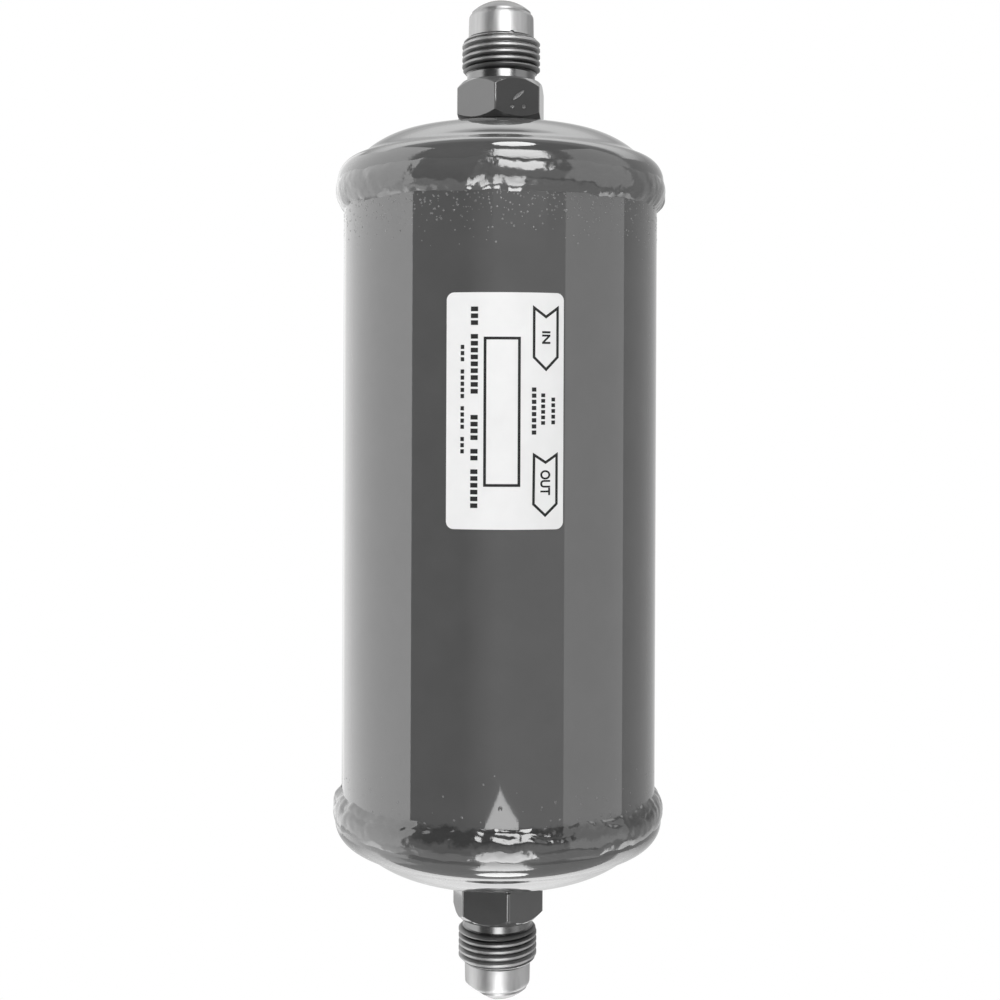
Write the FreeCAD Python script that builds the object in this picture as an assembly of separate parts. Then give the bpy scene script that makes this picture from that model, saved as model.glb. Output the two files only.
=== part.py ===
"""In-line liquid-line filter drier: a welded steel canister with a flare fitting at each end.

Refrigerant enters at the top fitting, passes a spring-loaded bed of desiccant beads held between
felt pads, wire screens and perforated plates, and leaves at the bottom fitting.
Millimetres. +Z runs along the canister towards the inlet, and the origin is the canister's centre.
-Y is the side that carries the label.
"""

import FreeCAD, Part
import math
import os

from FreeCAD import Vector

ORIGIN = Vector(0, 0, 0)
Z_AXIS = Vector(0, 0, 1)
Y_AXIS = Vector(0, 1, 0)

# Canister tube
TUBE_OD = 76.2
TUBE_WALL = 1.5
TUBE_LENGTH = 154.4

# Pressed end cap, a cup with a rolled rim and a raised dome, slipped over the tube's end
CAP_WALL = 1.5
CAP_TUBE_CLEARANCE = 0.05
CAP_LAP = 2.6
RIM_R = 5.5
CREASE_FILLET_R = 1.2
CREASE_INSET = 0.3
SHOULDER_R = 22.0
SHOULDER_FOOT_DEG = 44.4
CROWN_R = 100.0

# Lap weld between the cap's skirt and the tube
WELD_OVER_SKIRT = 2.4
WELD_OVER_TUBE = 4.1
WELD_PROUD = 0.75
WELD_CREST_DROP = 0.2

# Flare fitting for half-inch tube, brazed into the dome
SPIGOT_R = 7.95
SPIGOT_HOLE_CLEARANCE = 0.05
SPIGOT_INSIDE = 3.4
COLLAR_R = 8.9
COLLAR_HEIGHT = 0.6
HEX_ACROSS_FLATS = 20.0
HEX_HEIGHT = 9.7
HEX_NECK_CHAMFER_DEG = 50.0
HEX_FOOT_CHAMFER_DEG = 38.0
HEX_CHAMFER_INSET = 0.4
NECK_R = 8.3
NECK_LENGTH = 2.3
THREAD_MAJOR_R = 9.525
THREAD_LENGTH = 8.3
THREAD_CHAMFER = 0.9
NOSE_R = 7.5
NOSE_LENGTH = 5.1
BORE_R = 5.05
FLARE_SEAT_DEG = 45.0
INLET_HEX_TURN_DEG = -6.9
OUTLET_HEX_TURN_DEG = 12.9
BRAZE_FILLET = 1.1

# Thimble that seals the flare nose in store
SEAL_CAP_WALL = 0.42
SEAL_CAP_CLEARANCE = 0.08
SEAL_CAP_STANDOFF = 0.3
SEAL_CAP_SIDE = 5.6
SEAL_CAP_DOME_R = 10.5

# Label on the tube
LABEL_WIDTH = 26.3
LABEL_HEIGHT = 52.1
LABEL_THICKNESS = 0.15
LABEL_CORNER_R = 1.7
LABEL_CENTRE_Z = 21.65
LABEL_TURN_DEG = 1.85

# Filling, and the hair's breadth that is left between pieces that rest on each other
SEAT_GAP = 0.02
PLATE_CLEARANCE = 0.3
PLATE_THICKNESS = 1.2
PLATE_FLANGE = 5.0
PLATE_HOLE_R = 2.2
PLATE_HOLE_PITCH = 9.0
PLATE_HOLE_RINGS = 3
SUPPORT_CUP_HEIGHT = 16.2
SCREEN_THICKNESS = 0.6
SCREEN_PITCH = 8.0
SCREEN_WIRE = 1.6
PAD_THICKNESS = 4.0
SPRING_HEIGHT = 26.3
SPRING_COIL_R = 15.0
SPRING_WIRE_R = 1.2
SPRING_TURNS = 3.5

# Sizes that follow from those above
tube_r = TUBE_OD / 2
tube_inner_r = tube_r - TUBE_WALL
tube_end_z = TUBE_LENGTH / 2
skirt_inner_r = tube_r + CAP_TUBE_CLEARANCE
skirt_r = skirt_inner_r + CAP_WALL
skirt_edge_z = tube_end_z - CAP_LAP
hole_r = SPIGOT_R + SPIGOT_HOLE_CLEARANCE
plate_r = tube_inner_r - PLATE_CLEARANCE
packed_r = tube_inner_r - SEAT_GAP


def point(r, z):
    """A point of a half section, in the plane that holds the axis."""
    return Vector(r, 0, z)


def toward(a, b, distance):
    """The point at that distance from a on the way to b."""
    return a + (b - a).normalize() * distance


def on_circle(centre, radius, elevation_deg):
    """The point of a section's circle at that angle above the horizontal."""
    angle = math.radians(elevation_deg)
    return centre + Vector(radius * math.cos(angle), 0, radius * math.sin(angle))


def arc_about(centre, start, end):
    """The shorter arc about a centre from start to end."""
    radius = (start - centre).Length
    middle = toward(centre, (start + end) / 2, radius)
    return Part.Arc(start, middle, end).toShape()


def line(a, b):
    return Part.LineSegment(a, b).toShape()


def outline(points):
    """Straight edges through the points and back to the first."""
    return [line(a, b) for a, b in zip(points, points[1:] + points[:1])]


def turned(edges):
    """The solid that a closed half section sweeps about the axis."""
    wire = Part.Wire(Part.__sortEdges__(edges))
    return Part.Face(wire).revolve(ORIGIN, Z_AXIS, 360)


def washer(outer_r, inner_r, low, high):
    return turned(outline([point(inner_r, low), point(outer_r, low), point(outer_r, high), point(inner_r, high)]))


def end_for_end(shape):
    """The same piece at the outlet end."""
    return shape.rotated(ORIGIN, Y_AXIS, 180)


# The end cap's section: centres of its arcs, from the rim inwards
rim_centre = point(skirt_r - RIM_R, tube_end_z)
shoulder_foot = rim_centre + point(CREASE_INSET, RIM_R)
shoulder_centre = on_circle(shoulder_foot, SHOULDER_R, 180 + SHOULDER_FOOT_DEG)
crown_edge_r = shoulder_centre.x * CROWN_R / (CROWN_R - SHOULDER_R)
crown_edge_sin = crown_edge_r / CROWN_R
crown_centre = point(0, shoulder_centre.z - (CROWN_R - SHOULDER_R) * math.sqrt(1 - crown_edge_sin ** 2))


def crease_centre():
    """The centre of the hollow fillet that touches both the rim's arc and the shoulder's arc."""
    from_rim = RIM_R + CREASE_FILLET_R
    from_shoulder = SHOULDER_R + CREASE_FILLET_R
    between = rim_centre - shoulder_centre
    along = (from_shoulder ** 2 - from_rim ** 2 + between.Length ** 2) / (2 * between.Length)
    aside = math.sqrt(from_shoulder ** 2 - along ** 2)
    unit = Vector(between).normalize()
    return shoulder_centre + unit * along + Vector(-unit.z, 0, unit.x) * aside


def crown_z(r, below=0.0):
    """Height of the dome at radius r, on the surface that lies that far below the outer one."""
    return crown_centre.z + math.sqrt((CROWN_R - below) ** 2 - r ** 2)


def cap_section_side(below):
    """Points and edges of the cap's surface that lies that far below the outer one."""
    crease = crease_centre()
    edge = point(skirt_r - below, skirt_edge_z)
    skirt_top = rim_centre + point(RIM_R - below, 0)
    rim_end = toward(rim_centre, crease, RIM_R - below)
    shoulder_start = toward(shoulder_centre, crease, SHOULDER_R - below)
    crown_start = toward(crown_centre, shoulder_centre, CROWN_R - below)
    hole_edge = point(hole_r, crown_z(hole_r, below))
    edges = [
        line(edge, skirt_top),
        arc_about(rim_centre, skirt_top, rim_end),
        arc_about(crease, rim_end, shoulder_start),
        arc_about(shoulder_centre, shoulder_start, crown_start),
        arc_about(crown_centre, crown_start, hole_edge),
    ]
    return edge, hole_edge, edges


def end_cap():
    outer_edge, outer_hole, outer = cap_section_side(0.0)
    inner_edge, inner_hole, inner = cap_section_side(CAP_WALL)
    return turned(outer + inner + [line(outer_edge, inner_edge), line(outer_hole, inner_hole)])


def girth_weld():
    """A convex lap bead that covers the skirt's edge and runs out on the tube."""
    top = point(skirt_r, skirt_edge_z + WELD_OVER_SKIRT)
    crest = point(skirt_r + WELD_PROUD, skirt_edge_z - WELD_CREST_DROP)
    toe = point(tube_r, skirt_edge_z - WELD_OVER_TUBE)
    root = point(tube_r, skirt_edge_z)
    step = point(skirt_r, skirt_edge_z)
    bead = Part.Arc(top, crest, toe).toShape()
    return turned([bead, line(toe, root), line(root, step), line(step, top)])


# Heights along the inlet fitting, from the dome outwards
collar_z = crown_z(hole_r) + SEAT_GAP
hex_z = collar_z + COLLAR_HEIGHT
neck_z = hex_z + HEX_HEIGHT
thread_z = neck_z + NECK_LENGTH
nose_z = thread_z + THREAD_LENGTH
cone_z = nose_z + NOSE_LENGTH
tip_z = cone_z + (NOSE_R - BORE_R) / math.tan(math.radians(FLARE_SEAT_DEG))
spigot_z = crown_z(hole_r, CAP_WALL) - SPIGOT_INSIDE


def hex_block(turn_deg):
    """The wrench hexagon, chamfered at both ends, with a corner at turn_deg from -Y towards +X."""
    corner_r = HEX_ACROSS_FLATS / math.sqrt(3)
    corners = []
    for k in range(6):
        angle = math.radians(turn_deg - 90 + 60 * k)
        corners.append(Vector(corner_r * math.cos(angle), corner_r * math.sin(angle), hex_z))
    prism = Part.Face(Part.makePolygon(corners + corners[:1])).extrude(Z_AXIS * HEX_HEIGHT)
    face_r = HEX_ACROSS_FLATS / 2 - HEX_CHAMFER_INSET
    foot_rise = (corner_r - face_r) * math.tan(math.radians(HEX_FOOT_CHAMFER_DEG))
    neck_drop = (corner_r - face_r) * math.tan(math.radians(HEX_NECK_CHAMFER_DEG))
    chamfered = turned(outline([
        point(0, hex_z),
        point(face_r, hex_z),
        point(corner_r, hex_z + foot_rise),
        point(corner_r, neck_z - neck_drop),
        point(face_r, neck_z),
        point(0, neck_z),
    ]))
    return prism.common(chamfered)


def flare_fitting(turn_deg):
    """Spigot, collar, hexagon, neck, threaded length and flare nose, bored through."""
    body = turned(outline([
        point(0, spigot_z),
        point(SPIGOT_R, spigot_z),
        point(SPIGOT_R, collar_z),
        point(COLLAR_R, collar_z),
        point(COLLAR_R, hex_z),
        point(NECK_R, hex_z),
        point(NECK_R, thread_z),
        point(THREAD_MAJOR_R - THREAD_CHAMFER, thread_z),
        point(THREAD_MAJOR_R, thread_z + THREAD_CHAMFER),
        point(THREAD_MAJOR_R, nose_z - THREAD_CHAMFER),
        point(THREAD_MAJOR_R - THREAD_CHAMFER, nose_z),
        point(NOSE_R, nose_z),
        point(NOSE_R, cone_z),
        point(BORE_R, tip_z),
        point(0, tip_z),
    ]))
    bore = Part.makeCylinder(BORE_R, tip_z - spigot_z, point(0, spigot_z))
    return body.fuse(hex_block(turn_deg)).cut(bore).removeSplitter()


def braze_fillet():
    """The run-out ring of filler metal between the collar and the dome."""
    foot_r = COLLAR_R + BRAZE_FILLET
    foot = point(foot_r, crown_z(foot_r))
    corner = point(COLLAR_R, crown_z(COLLAR_R))
    top = point(COLLAR_R, hex_z)
    return turned([arc_about(crown_centre, foot, corner), line(corner, top), line(top, foot)])


def sealing_cap():
    """A drawn thimble pushed over the flare nose, its rim just clear of the thread's front face."""
    inner_r = NOSE_R + SEAL_CAP_CLEARANCE
    outer_r = inner_r + SEAL_CAP_WALL
    rim_z = nose_z + SEAL_CAP_STANDOFF
    shoulder_z = rim_z + SEAL_CAP_SIDE
    centre = point(0, shoulder_z - math.sqrt(SEAL_CAP_DOME_R ** 2 - outer_r ** 2))
    inner_dome_r = SEAL_CAP_DOME_R - SEAL_CAP_WALL
    inner_shoulder_z = centre.z + math.sqrt(inner_dome_r ** 2 - inner_r ** 2)
    rim_outer = point(outer_r, rim_z)
    rim_inner = point(inner_r, rim_z)
    shoulder_outer = point(outer_r, shoulder_z)
    shoulder_inner = point(inner_r, inner_shoulder_z)
    top_outer = centre + point(0, SEAL_CAP_DOME_R)
    top_inner = centre + point(0, inner_dome_r)
    return turned([
        line(rim_inner, rim_outer),
        line(rim_outer, shoulder_outer),
        arc_about(centre, shoulder_outer, top_outer),
        line(top_outer, top_inner),
        arc_about(centre, top_inner, shoulder_inner),
        line(shoulder_inner, rim_inner),
    ])


def label():
    """A rounded rectangle of film, wrapped on the tube."""
    half_width = (tube_r + LABEL_THICKNESS) * math.sin(LABEL_WIDTH / TUBE_OD)
    half_height = LABEL_HEIGHT / 2
    flat = Part.makeBox(2 * half_width, tube_r + LABEL_THICKNESS, LABEL_HEIGHT,
                        Vector(-half_width, -tube_r - LABEL_THICKNESS, -half_height))
    corners = [e for e in flat.Edges if abs(e.tangentAt(e.FirstParameter).y) > 0.99]
    window = flat.makeFillet(LABEL_CORNER_R, corners)
    film = washer(tube_r + LABEL_THICKNESS, tube_r, -half_height, half_height)
    piece = film.common(window)
    piece.translate(Vector(0, 0, LABEL_CENTRE_Z))
    return piece.rotated(ORIGIN, Z_AXIS, LABEL_TURN_DEG)


# Heights of the filling, from both ends inwards to the bed
spring_high_z = crown_z(SPRING_COIL_R, CAP_WALL + SPRING_WIRE_R) - SEAT_GAP
spring_low_z = spring_high_z + 2 * SPRING_WIRE_R - SPRING_HEIGHT
inlet_plate_z = spring_low_z - SPRING_WIRE_R - SEAT_GAP - PLATE_THICKNESS
inlet_screen_z = inlet_plate_z - SCREEN_THICKNESS
inlet_pad_z = inlet_screen_z - PAD_THICKNESS
rim_hollow_r = RIM_R - CAP_WALL
cup_reach = math.sqrt(rim_hollow_r ** 2 - (plate_r - rim_centre.x) ** 2)
cup_foot_z = -(tube_end_z + cup_reach - SEAT_GAP)
cup_top_z = cup_foot_z + SUPPORT_CUP_HEIGHT
outlet_pad_z = cup_top_z + SCREEN_THICKNESS
bed_z = outlet_pad_z + PAD_THICKNESS


def disc(radius, low, thickness):
    return Part.makeCylinder(radius, thickness, point(0, low))


def hole_places():
    """Centres of the plates' holes, on a triangular pattern of that many rings."""
    places = []
    rings = range(-PLATE_HOLE_RINGS, PLATE_HOLE_RINGS + 1)
    for i in rings:
        for j in rings:
            if abs(i + j) <= PLATE_HOLE_RINGS:
                x = PLATE_HOLE_PITCH * (i + j / 2)
                y = PLATE_HOLE_PITCH * j * math.sin(math.radians(60))
                places.append((x, y))
    return places


def perforated(shape, low, thickness):
    """The shape with the plates' round holes through the layer that starts at low."""
    holes = [Part.makeCylinder(PLATE_HOLE_R, thickness, Vector(x, y, low)) for x, y in hole_places()]
    return shape.cut(Part.makeCompound(holes))


def inlet_plate():
    """The plate that the spring pushes, flanged towards the spring."""
    flange = washer(plate_r, plate_r - PLATE_THICKNESS, inlet_plate_z, inlet_plate_z + PLATE_FLANGE)
    plate = disc(plate_r, inlet_plate_z, PLATE_THICKNESS).fuse(flange).removeSplitter()
    return perforated(plate, inlet_plate_z, PLATE_THICKNESS)


def outlet_support_cup():
    """The plate that carries the bed, on a skirt that stands in the end cap's rim."""
    skirt = washer(plate_r, plate_r - PLATE_THICKNESS, cup_foot_z, cup_top_z)
    plate_z = cup_top_z - PLATE_THICKNESS
    cup = skirt.fuse(disc(plate_r, plate_z, PLATE_THICKNESS)).removeSplitter()
    return perforated(cup, plate_z, PLATE_THICKNESS)


def wire_screen(low):
    """A coarse wire cloth: square gaps between crossing wires, inside a closed border."""
    gap = SCREEN_PITCH - SCREEN_WIRE
    count = math.ceil(plate_r / SCREEN_PITCH)
    gaps = []
    for i in range(-count, count):
        for j in range(-count, count):
            x = i * SCREEN_PITCH + SCREEN_WIRE / 2
            y = j * SCREEN_PITCH + SCREEN_WIRE / 2
            corner_r = math.hypot(max(abs(x), abs(x + gap)), max(abs(y), abs(y + gap)))
            if corner_r < plate_r - SCREEN_WIRE:
                gaps.append(Part.makeBox(gap, gap, SCREEN_THICKNESS, Vector(x, y, low)))
    return disc(plate_r, low, SCREEN_THICKNESS).cut(Part.makeCompound(gaps))


def spring():
    """The compression spring between the inlet plate and the inside of the inlet dome."""
    height = spring_high_z - spring_low_z
    helix = Part.makeHelix(height / SPRING_TURNS, height, SPRING_COIL_R)
    helix.translate(point(0, spring_low_z))
    path = Part.Wire(helix.Edges)
    start = path.Edges[0].firstVertex().Point
    tangent = path.Edges[0].tangentAt(path.Edges[0].FirstParameter)
    section = Part.Wire(Part.makeCircle(SPRING_WIRE_R, start, tangent))
    return Part.Solid(path.makePipeShell([section], True, True))


def pieces():
    """Every separate piece of the drier, by name."""
    cap = end_cap()
    weld = girth_weld()
    braze = braze_fillet()
    seal = sealing_cap()
    return {
        "shell": washer(tube_r, tube_inner_r, -tube_end_z, tube_end_z),
        "inlet_end_cap": cap,
        "outlet_end_cap": end_for_end(cap),
        "inlet_girth_weld": weld,
        "outlet_girth_weld": end_for_end(weld),
        "inlet_flare_fitting": flare_fitting(INLET_HEX_TURN_DEG),
        "outlet_flare_fitting": end_for_end(flare_fitting(-OUTLET_HEX_TURN_DEG)),
        "inlet_braze_fillet": braze,
        "outlet_braze_fillet": end_for_end(braze),
        "inlet_sealing_cap": seal,
        "outlet_sealing_cap": end_for_end(seal),
        "label": label(),
        "spring": spring(),
        "inlet_perforated_plate": inlet_plate(),
        "inlet_screen": wire_screen(inlet_screen_z),
        "inlet_filter_pad": disc(packed_r, inlet_pad_z, PAD_THICKNESS),
        "desiccant_bed": disc(packed_r, bed_z, inlet_pad_z - bed_z),
        "outlet_filter_pad": disc(packed_r, outlet_pad_z, PAD_THICKNESS),
        "outlet_screen": wire_screen(cup_top_z),
        "outlet_support_cup": outlet_support_cup(),
    }


def main():
    os.makedirs("parts", exist_ok=True)
    for name, shape in pieces().items():
        solid, = shape.Solids
        solid.exportStep(os.path.join("parts", name + ".step"))
        box = solid.optimalBoundingBox(False, False)
        print(f"{name:24s} valid {solid.isValid()} volume {solid.Volume:10.1f} mm3,"
              f" z {box.ZMin:8.2f} to {box.ZMax:8.2f}, width {box.XLength:6.2f}")


main()
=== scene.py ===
# %% [markdown]
# # A filter drier, dressed for the camera
# The object is a liquid-line filter drier: a steel canister with a pressed cap welded over each end, a
# flare fitting brazed into each cap, and a bed of desiccant beads inside. The imported CAD model is the
# fixed frame. It says where everything is. This script gives every piece the surface that the real one has.
# The first cell loads the frame.

import bpy
import math
import random
from mathutils import Matrix, Vector, noise


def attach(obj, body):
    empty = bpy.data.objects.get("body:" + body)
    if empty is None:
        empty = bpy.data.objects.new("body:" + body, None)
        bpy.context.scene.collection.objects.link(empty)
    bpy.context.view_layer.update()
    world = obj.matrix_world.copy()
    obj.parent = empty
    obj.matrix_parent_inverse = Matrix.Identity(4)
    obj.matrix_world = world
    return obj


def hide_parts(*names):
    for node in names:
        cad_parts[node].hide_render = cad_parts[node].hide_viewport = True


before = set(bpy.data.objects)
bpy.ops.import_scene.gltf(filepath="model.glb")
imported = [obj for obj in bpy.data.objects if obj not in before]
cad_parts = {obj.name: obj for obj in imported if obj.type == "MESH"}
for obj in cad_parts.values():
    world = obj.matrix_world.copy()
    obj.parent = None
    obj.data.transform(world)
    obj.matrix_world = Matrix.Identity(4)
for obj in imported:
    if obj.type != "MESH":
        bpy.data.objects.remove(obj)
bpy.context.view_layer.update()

# %% [markdown]
# The maker's drawing is in millimetres and Blender works in metres, so one number joins them. The sizes
# below are the drawing's, measured from the drier's middle. Z runs up to the inlet, and the label faces -Y.

# %% Sizes of the drawing, in millimetres
MM = 0.001
TUBE_R, TUBE_INNER_R, TUBE_END_Z = 38.1, 36.6, 77.2
SKIRT_R, SKIRT_EDGE_Z, CAP_WALL = 39.65, 74.6, 1.5
HOLE_R = 8.0
COLLAR_R, HEX_ACROSS_FLATS = 8.9, 20.0
COLLAR_Z, HEX_Z, NECK_Z, THREAD_Z = 91.29, 91.89, 101.59, 103.89
NOSE_Z, CONE_Z, TIP_Z = 112.19, 117.29, 119.74
SPIGOT_R, SPIGOT_Z, NECK_R, NOSE_R, BORE_R = 7.95, 86.36, 8.3, 7.5, 5.05
THREAD_R, THREAD_PITCH, THREAD_DEPTH, THREAD_CHAMFER = 9.525, 1.5875, 0.9, 0.9
THIMBLE_R, THIMBLE_INNER_R = 8.0, 7.58
THIMBLE_RIM_Z, THIMBLE_SHOULDER_Z, THIMBLE_TOP_Z = 112.49, 118.09, 121.79
LABEL_WIDTH, LABEL_HEIGHT, LABEL_CORNER, LABEL_Z, LABEL_TURN = 26.3, 52.1, 1.7, 21.65, 1.85
BOX_R = 40.38
print("length over the thimbles:", 2 * THIMBLE_TOP_Z, "mm")

# %% [markdown]
# ## Camera
# The photograph was taken with a short telephoto lens, level with a point a little above the middle. The
# frame is then moved down over the picture, as with a shift lens, which keeps the canister's sides
# parallel. The drier leans about a quarter of a degree, so the camera is rolled by as much.

# %% Camera at the photograph's place
bpy.ops.object.camera_add(location=(0, -0.364, 0.0223), rotation=(math.radians(90), math.radians(-0.24), 0))
camera = bpy.context.object
camera.data.lens = 53.496
camera.data.shift_x = 0.0003
camera.data.shift_y = -0.092
camera.data.clip_start = 0.01
bpy.context.scene.camera = camera
bpy.context.scene.view_settings.view_transform = "Standard"
print("camera lens", camera.data.lens, "mm")

# %% [markdown]
# ## Small tools
# Most of the drier is turned, rolled or pressed round, so one tool makes a piece from half of its section:
# a plane is merged to a single point, the point is extruded along the section, and the line is spun about
# the axis. That is how a lathe sees the piece, and gloss runs over its clean rings without a ripple.

# %% Turning a section about the axis
def named(name):
    """Names the new object and its mesh."""
    piece = bpy.context.object
    piece.name = piece.data.name = name
    return piece


def start_piece(name):
    """Names the new object, and goes into edit mode with all of it selected."""
    piece = named(name)
    bpy.ops.object.mode_set(mode="EDIT")
    bpy.ops.mesh.select_mode(type="VERT")
    bpy.ops.mesh.select_all(action="SELECT")
    return piece


def arc(centre, start, end, steps):
    """Points of the shorter arc about a centre, from start to end, both included."""
    centre, start, end = Vector(centre), Vector(start), Vector(end)
    radius = (start - centre).length
    first = math.atan2(start.y - centre.y, start.x - centre.x)
    last = math.atan2(end.y - centre.y, end.x - centre.x)
    sweep = (last - first + math.pi) % (2 * math.pi) - math.pi
    angles = [first + sweep * k / steps for k in range(steps + 1)]
    return [(centre.x + radius * math.cos(a), centre.y + radius * math.sin(a)) for a in angles]


def turned(name, section, steps=128, smooth_deg=30):
    """A closed half section of (radius, height) points in millimetres, spun about the axis."""
    bpy.ops.object.select_all(action="DESELECT")
    bpy.ops.mesh.primitive_plane_add(size=MM)
    piece = start_piece(name)
    bpy.ops.mesh.merge(type="CENTER")
    bpy.ops.transform.translate(value=(section[0][0] * MM, 0, section[0][1] * MM))
    for here, there in zip(section, section[1:] + section[:1]):
        step = ((there[0] - here[0]) * MM, 0, (there[1] - here[1]) * MM)
        bpy.ops.mesh.extrude_vertices_move(TRANSFORM_OT_translate={"value": step})
    bpy.ops.mesh.select_all(action="SELECT")
    bpy.ops.mesh.remove_doubles(threshold=0.0005 * MM)
    bpy.ops.mesh.spin(steps=steps, angle=2 * math.pi, center=(0, 0, 0), axis=(0, 0, 1))
    bpy.ops.mesh.select_all(action="SELECT")
    bpy.ops.mesh.remove_doubles(threshold=0.0005 * MM)
    bpy.ops.mesh.normals_make_consistent(inside=False)
    bpy.ops.object.mode_set(mode="OBJECT")
    bpy.ops.object.shade_smooth_by_angle(angle=math.radians(smooth_deg))
    print(f"{name}: {len(piece.data.polygons)} faces")
    return piece


# %% [markdown]
# More tools follow. One copies a piece with its own mesh and can turn it end for end, because the outlet is
# the inlet upside down. One cuts, trims or joins a piece with another. One keeps broad faces flat in the
# gloss. One moves every point by a rule, for shapes that no tool has, such as a bead of weld.

# %% Copying, cutting and reshaping
END_FOR_END = Matrix.Rotation(math.pi, 4, "Y")


def copied(name, piece, move=Matrix.Identity(4)):
    """A copy with a mesh of its own, moved by a matrix that goes into the mesh."""
    twin = piece.copy()
    twin.data = piece.data.copy()
    twin.name = twin.data.name = name
    bpy.context.collection.objects.link(twin)
    twin.data.transform(move)
    return twin


def only(piece):
    """Makes a piece the only one selected."""
    bpy.ops.object.select_all(action="DESELECT")
    piece.select_set(True)
    bpy.context.view_layer.objects.active = piece


def finish_modifiers(piece):
    """Lets a piece's modifiers take effect, and leaves it selected."""
    only(piece)
    for modifier in list(piece.modifiers):
        bpy.ops.object.modifier_apply(modifier=modifier.name)


def machine(piece, tool, operation):
    """Cuts, trims or joins a piece with a tool, which is used up."""
    cut = piece.modifiers.new(operation.lower(), "BOOLEAN")
    cut.object = tool
    cut.operation = operation
    cut.solver = "EXACT"
    finish_modifiers(piece)
    bpy.data.objects.remove(tool)


def smooth_round_flats(piece, degrees):
    """Smooths curved skin up to that angle, while broad flat faces keep their own true reflection."""
    only(piece)
    bpy.ops.object.shade_smooth_by_angle(angle=math.radians(degrees))
    weighted = piece.modifiers.new("weighted", "WEIGHTED_NORMAL")
    weighted.keep_sharp = True
    weighted.weight = 100
    finish_modifiers(piece)


def join(name, pieces):
    """Several meshes as one piece."""
    bpy.ops.object.select_all(action="DESELECT")
    for piece in pieces:
        piece.select_set(True)
    bpy.context.view_layer.objects.active = pieces[0]
    bpy.ops.object.join()
    pieces[0].name = pieces[0].data.name = name
    return pieces[0]


def reshape(piece, rule):
    """Moves each point to where rule(point) says, in millimetres."""
    for vertex in piece.data.vertices:
        vertex.co = rule(vertex.co / MM) * MM
    piece.data.update()


# %% [markdown]
# ## Canister tube
# The body is a length of drawn steel tube, 76.2 mm across. It is cut square, and each end goes up inside a
# cap. A gloss finish shows every facet, so the tube is spun in 256 steps, and rings along its length keep
# the faces near to square.

# %% Tube
GLOSS_STEPS, RINGS = 256, 24
outside = [(TUBE_R, -TUBE_END_Z + 2 * TUBE_END_Z * k / RINGS) for k in range(RINGS + 1)]
inside = [(TUBE_INNER_R, TUBE_END_Z), (TUBE_INNER_R, -TUBE_END_Z)]
tube = turned("canister_tube", outside + inside, GLOSS_STEPS)

# %% [markdown]
# ## Pressed end caps
# Each cap is pressed from sheet: a short skirt that slips over the tube, a rolled rim, a hollow crease
# and a low dome. The light breaks at the crease, so the section is drawn with its true arcs, and the inside
# is the same arcs one wall thickness smaller. The dome has a hole for the fitting's spigot.

# %% End caps
RIM_CENTRE = Vector((34.15, 77.2))
SHOULDER_CENTRE = Vector((18.731, 67.308))
CROWN_CENTRE = Vector((0, -8.407))
RIM_R, CREASE_R, SHOULDER_R, CROWN_R = 5.5, 8.0, 22.0, 100.0


def circles_meet(a, radius_a, b, radius_b):
    """Where two circles cross, on the outer side of the line between them."""
    between = a - b
    along = (radius_b ** 2 - radius_a ** 2 + between.length ** 2) / (2 * between.length)
    aside = math.sqrt(radius_b ** 2 - along ** 2)
    unit = between.normalized()
    return b + unit * along + Vector((-unit.y, unit.x)) * aside


CREASE_CENTRE = circles_meet(RIM_CENTRE, RIM_R + CREASE_R, SHOULDER_CENTRE, SHOULDER_R + CREASE_R)


def crown_z(radius, below=0.0):
    """Height of the dome at a radius, on the surface that lies that far below the outer one."""
    return CROWN_CENTRE.y + math.sqrt((CROWN_R - below) ** 2 - radius ** 2)


def cap_side(below, fineness):
    """The cap's surface from the skirt's edge to the hole, that far below the outer one."""
    skirt_top = RIM_CENTRE + Vector((RIM_R - below, 0))
    rim_end = RIM_CENTRE + (CREASE_CENTRE - RIM_CENTRE).normalized() * (RIM_R - below)
    shoulder_start = SHOULDER_CENTRE + (CREASE_CENTRE - SHOULDER_CENTRE).normalized() * (SHOULDER_R - below)
    crown_start = CROWN_CENTRE + (SHOULDER_CENTRE - CROWN_CENTRE).normalized() * (CROWN_R - below)
    hole_edge = (HOLE_R, crown_z(HOLE_R, below))
    return (
        [(SKIRT_R - below, SKIRT_EDGE_Z)]
        + arc(RIM_CENTRE, skirt_top, rim_end, 10 * fineness)
        + arc(CREASE_CENTRE, rim_end, shoulder_start, 4 * fineness)[1:]
        + arc(SHOULDER_CENTRE, shoulder_start, crown_start, 6 * fineness)[1:]
        + arc(CROWN_CENTRE, crown_start, hole_edge, 4 * fineness)[1:]
    )


inlet_cap = turned("inlet_pressed_cap", cap_side(0, 3) + cap_side(CAP_WALL, 1)[::-1], GLOSS_STEPS)
outlet_cap = copied("outlet_pressed_cap", inlet_cap, END_FOR_END)

# %% [markdown]
# ## Girth welds
# A lap weld runs round each cap's edge. The bead starts inside the skirt, so that its edge wanders, is
# fullest at the cap's edge and meets the tube at a steep toe. The paint has filled its fine ripples. It is
# spun as a smooth ring first, and its points are then moved by noise, because no tool draws such a surface.
# Noise is read in space, so the ring closes on itself. A groove is burnt in along the outlet bead's toe.

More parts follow.
